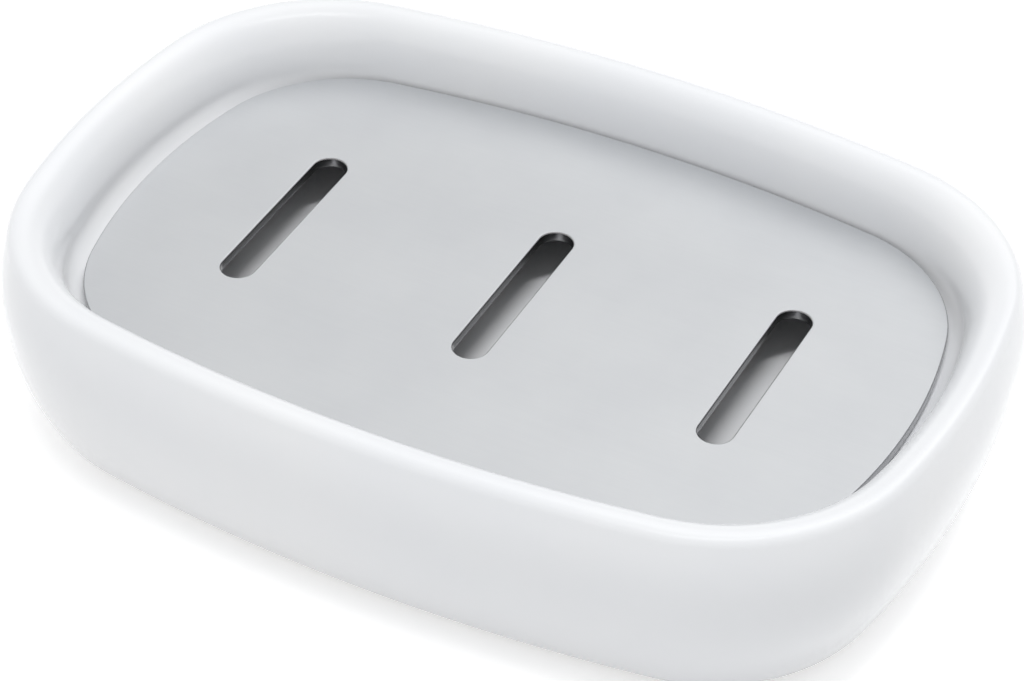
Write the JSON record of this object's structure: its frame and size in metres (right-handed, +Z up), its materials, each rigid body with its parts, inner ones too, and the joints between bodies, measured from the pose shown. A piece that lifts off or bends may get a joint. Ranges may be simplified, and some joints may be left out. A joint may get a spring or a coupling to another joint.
{
  "type": "soap dish",
  "caption": "Rounded rectangular ceramic soap dish with a lift-out slotted steel draining plate over a shallow basin, on small anti-slip pads.",
  "frame": {"origin": "on the surface the dish stands on, under the middle of the dish", "axes": "+X along the dish's length, +Y from the front long side to the back one, +Z up"},
  "size_m": [0.13, 0.091, 0.03],
  "materials": {
    "glaze": "glossy white glaze with a faint cool tint",
    "steel": "fine satin brushing along the plate",
    "pad": "matte off-white silicone rubber"
  },
  "bodies": {
    "dish": {"dish_body": "glaze", "foot_pad_front_right": "pad", "foot_pad_front_left": "pad", "foot_pad_back_right": "pad", "foot_pad_back_left": "pad"},
    "plate": {"drain_plate": "steel"}
  },
  "joints": [
    {"name": "plate_lift", "type": "slide", "parent": "dish", "child": "plate", "axis": [0, 0, 1], "range_m": [0, 0.03]}
  ]
}
